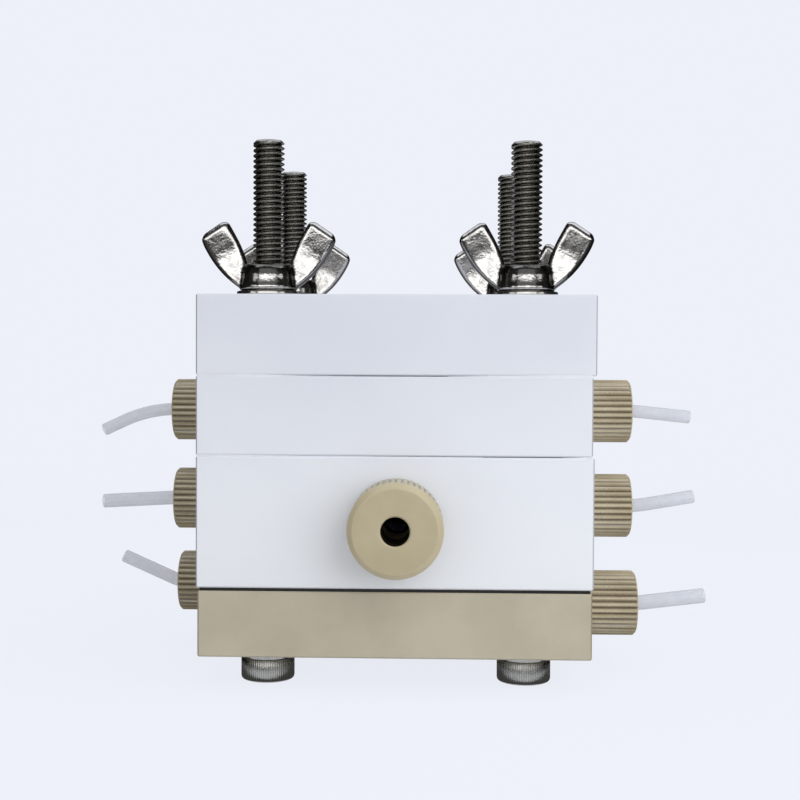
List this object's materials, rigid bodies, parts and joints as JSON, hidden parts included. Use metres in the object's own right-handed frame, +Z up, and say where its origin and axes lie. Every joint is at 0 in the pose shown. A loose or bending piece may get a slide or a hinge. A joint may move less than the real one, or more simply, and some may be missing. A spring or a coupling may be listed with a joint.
{
  "type": "electrochemical cell",
  "caption": "Clamped stack of square plastic plates forming a flow electrochemical cell, with side tube fittings, a front reference electrode port, long clamp screws and wing nuts.",
  "frame": {"origin": "middle of the four clamp screws, on the plane of their head ends that the cell stands on", "axes": "+X to the right and +Y to the rear seen from the reference port, +Z up along the clamp screws"},
  "size_m": [0.1248, 0.0951, 0.1034],
  "materials": {
    "ptfe_plate": "machined, satin",
    "peek_plate": "machined, satin",
    "peek_knurled": "turned and knurled, satin",
    "black_rubber": "matt",
    "clear_gasket": "satin",
    "membrane_film": "smooth",
    "carbon_paper": "matt fibre",
    "titanium_sheet": "rolled",
    "stainless_screw": "rolled thread, bright",
    "stainless_washer": "stamped, bright",
    "cast_nut": "cast and tumbled, bright",
    "ptfe_tube": "extruded, translucent",
    "ferrule_plastic": "moulded, satin"
  },
  "bodies": {
    "stack": {"gas_plate": "peek_plate", "cathode_collector": "titanium_sheet", "gas_diffusion_cathode": "carbon_paper", "cathode_gasket": "black_rubber", "catholyte_plate": "ptfe_plate", "membrane": "membrane_film", "membrane_gasket": "clear_gasket", "anolyte_plate": "ptfe_plate", "anode_gasket": "clear_gasket", "anode": "titanium_sheet", "end_plate": "ptfe_plate", "reference_o_ring": "black_rubber", "clamp_screw_front_left": "stainless_screw", "clamp_screw_front_right": "stainless_screw", "clamp_screw_rear_left": "stainless_screw", "clamp_screw_rear_right": "stainless_screw"},
    "front_left_washer": {"washer_front_left": "stainless_washer"},
    "front_left_nut": {"wing_nut_front_left": "cast_nut"},
    "front_right_washer": {"washer_front_right": "stainless_washer"},
    "front_right_nut": {"wing_nut_front_right": "cast_nut"},
    "rear_left_washer": {"washer_rear_left": "stainless_washer"},
    "rear_left_nut": {"wing_nut_rear_left": "cast_nut"},
    "rear_right_washer": {"washer_rear_right": "stainless_washer"},
    "rear_right_nut": {"wing_nut_rear_right": "cast_nut"},
    "anolyte_left_tube": {"tube_anolyte_left": "ptfe_tube", "ferrule_anolyte_left": "ferrule_plastic"},
    "anolyte_left_fitting": {"fitting_anolyte_left": "peek_knurled"},
    "anolyte_right_tube": {"tube_anolyte_right": "ptfe_tube", "ferrule_anolyte_right": "ferrule_plastic"},
    "anolyte_right_fitting": {"fitting_anolyte_right": "peek_knurled"},
    "catholyte_left_tube": {"tube_catholyte_left": "ptfe_tube", "ferrule_catholyte_left": "ferrule_plastic"},
    "catholyte_left_fitting": {"fitting_catholyte_left": "peek_knurled"},
    "catholyte_right_tube": {"tube_catholyte_right": "ptfe_tube", "ferrule_catholyte_right": "ferrule_plastic"},
    "catholyte_right_fitting": {"fitting_catholyte_right": "peek_knurled"},
    "gas_left_tube": {"tube_gas_left": "ptfe_tube", "ferrule_gas_left": "ferrule_plastic"},
    "gas_left_fitting": {"fitting_gas_left": "peek_knurled"},
    "gas_right_tube": {"tube_gas_right": "ptfe_tube", "ferrule_gas_right": "ferrule_plastic"},
    "gas_right_fitting": {"fitting_gas_right": "peek_knurled"},
    "reference_ring_slide": {"reference_ring": "ferrule_plastic"},
    "reference_cap_body": {"reference_cap": "peek_knurled"}
  },
  "joints": [
    {"name": "wing_nut_front_left_travel", "type": "slide", "parent": "stack", "child": "front_left_washer", "axis": [0, 0, 1], "range_m": [0, 0.02001]},
    {"name": "wing_nut_front_left_turn", "type": "hinge", "parent": "front_left_washer", "child": "front_left_nut", "pos_m": [-0.0245, -0.0245, 0.0742], "axis": [0, 0, 1], "range_deg": [0, 7200]},
    {"name": "wing_nut_front_right_travel", "type": "slide", "parent": "stack", "child": "front_right_washer", "axis": [0, 0, 1], "range_m": [0, 0.02001]},
    {"name": "wing_nut_front_right_turn", "type": "hinge", "parent": "front_right_washer", "child": "front_right_nut", "pos_m": [0.0245, -0.0245, 0.0742], "axis": [0, 0, 1], "range_deg": [0, 7200]},
    {"name": "wing_nut_rear_left_travel", "type": "slide", "parent": "stack", "child": "rear_left_washer", "axis": [0, 0, 1], "range_m": [0, 0.02001]},
    {"name": "wing_nut_rear_left_turn", "type": "hinge", "parent": "rear_left_washer", "child": "rear_left_nut", "pos_m": [-0.0245, 0.0245, 0.0742], "axis": [0, 0, 1], "range_deg": [0, 7200]},
    {"name": "wing_nut_rear_right_travel", "type": "slide", "parent": "stack", "child": "rear_right_washer", "axis": [0, 0, 1], "range_m": [0, 0.02001]},
    {"name": "wing_nut_rear_right_turn", "type": "hinge", "parent": "rear_right_washer", "child": "rear_right_nut", "pos_m": [0.0245, 0.0245, 0.0742], "axis": [0, 0, 1], "range_deg": [0, 7200]},
    {"name": "fitting_anolyte_left_travel", "type": "slide", "parent": "stack", "child": "anolyte_left_tube", "axis": [-1, 0, 0], "range_m": [0, 0.00454]},
    {"name": "fitting_anolyte_left_turn", "type": "hinge", "parent": "anolyte_left_tube", "child": "anolyte_left_fitting", "pos_m": [-0.0365, 0.0032, 0.05065], "axis": [-1, 0, 0], "range_deg": [0, 1800]},
    {"name": "fitting_anolyte_right_travel", "type": "slide", "parent": "stack", "child": "anolyte_right_tube", "axis": [1, 0, 0], "range_m": [0, 0.00454]},
    {"name": "fitting_anolyte_right_turn", "type": "hinge", "parent": "anolyte_right_tube", "child": "anolyte_right_fitting", "pos_m": [0.036, -0.0032, 0.05095], "axis": [1, 0, 0], "range_deg": [0, 1800]},
    {"name": "fitting_catholyte_left_travel", "type": "slide", "parent": "stack", "child": "catholyte_left_tube", "axis": [-1, 0, 0], "range_m": [0, 0.00454]},
    {"name": "fitting_catholyte_left_turn", "type": "hinge", "parent": "catholyte_left_tube", "child": "catholyte_left_fitting", "pos_m": [-0.0365, 0.0048, 0.0317], "axis": [-1, 0, 0], "range_deg": [0, 1800]},
    {"name": "fitting_catholyte_right_travel", "type": "slide", "parent": "stack", "child": "catholyte_right_tube", "axis": [1, 0, 0], "range_m": [0, 0.00454]},
    {"name": "fitting_catholyte_right_turn", "type": "hinge", "parent": "catholyte_right_tube", "child": "catholyte_right_fitting", "pos_m": [0.03633, -0.0048, 0.0317], "axis": [1, 0, 0], "range_deg": [0, 1800]},
    {"name": "fitting_gas_left_travel", "type": "slide", "parent": "stack", "child": "gas_left_tube", "axis": [-1, 0, 0], "range_m": [0, 0.00454]},
    {"name": "fitting_gas_left_turn", "type": "hinge", "parent": "gas_left_tube", "child": "gas_left_fitting", "pos_m": [-0.0362, 0.0117, 0.01295], "axis": [-1, 0, 0], "range_deg": [0, 1800]},
    {"name": "fitting_gas_right_travel", "type": "slide", "parent": "stack", "child": "gas_right_tube", "axis": [1, 0, 0], "range_m": [0, 0.00454]},
    {"name": "fitting_gas_right_turn", "type": "hinge", "parent": "gas_right_tube", "child": "gas_right_fitting", "pos_m": [0.0361, -0.0117, 0.01295], "axis": [1, 0, 0], "range_deg": [0, 1800]},
    {"name": "reference_cap_travel", "type": "slide", "parent": "stack", "child": "reference_ring_slide", "axis": [0, -1, 0], "range_m": [0, 0.00601]},
    {"name": "reference_cap_turn", "type": "hinge", "parent": "reference_ring_slide", "child": "reference_cap_body", "pos_m": [0.00033, -0.0365, 0.03117], "axis": [0, -1, 0], "range_deg": [0, 1440]}
  ],
  "couplings": [
    {"joint": "wing_nut_front_left_travel", "follows": "wing_nut_front_left_turn", "m_per_rad": 0.00015915},
    {"joint": "wing_nut_front_right_travel", "follows": "wing_nut_front_right_turn", "m_per_rad": 0.00015915},
    {"joint": "wing_nut_rear_left_travel", "follows": "wing_nut_rear_left_turn", "m_per_rad": 0.00015915},
    {"joint": "wing_nut_rear_right_travel", "follows": "wing_nut_rear_right_turn", "m_per_rad": 0.00015915},
    {"joint": "fitting_anolyte_left_travel", "follows": "fitting_anolyte_left_turn", "m_per_rad": 0.00014435},
    {"joint": "fitting_anolyte_right_travel", "follows": "fitting_anolyte_right_turn", "m_per_rad": 0.00014435},
    {"joint": "fitting_catholyte_left_travel", "follows": "fitting_catholyte_left_turn", "m_per_rad": 0.00014435},
    {"joint": "fitting_catholyte_right_travel", "follows": "fitting_catholyte_right_turn", "m_per_rad": 0.00014435},
    {"joint": "fitting_gas_left_travel", "follows": "fitting_gas_left_turn", "m_per_rad": 0.00014435},
    {"joint": "fitting_gas_right_travel", "follows": "fitting_gas_right_turn", "m_per_rad": 0.00014435},
    {"joint": "reference_cap_travel", "follows": "reference_cap_turn", "m_per_rad": 0.00023873}
  ]
}
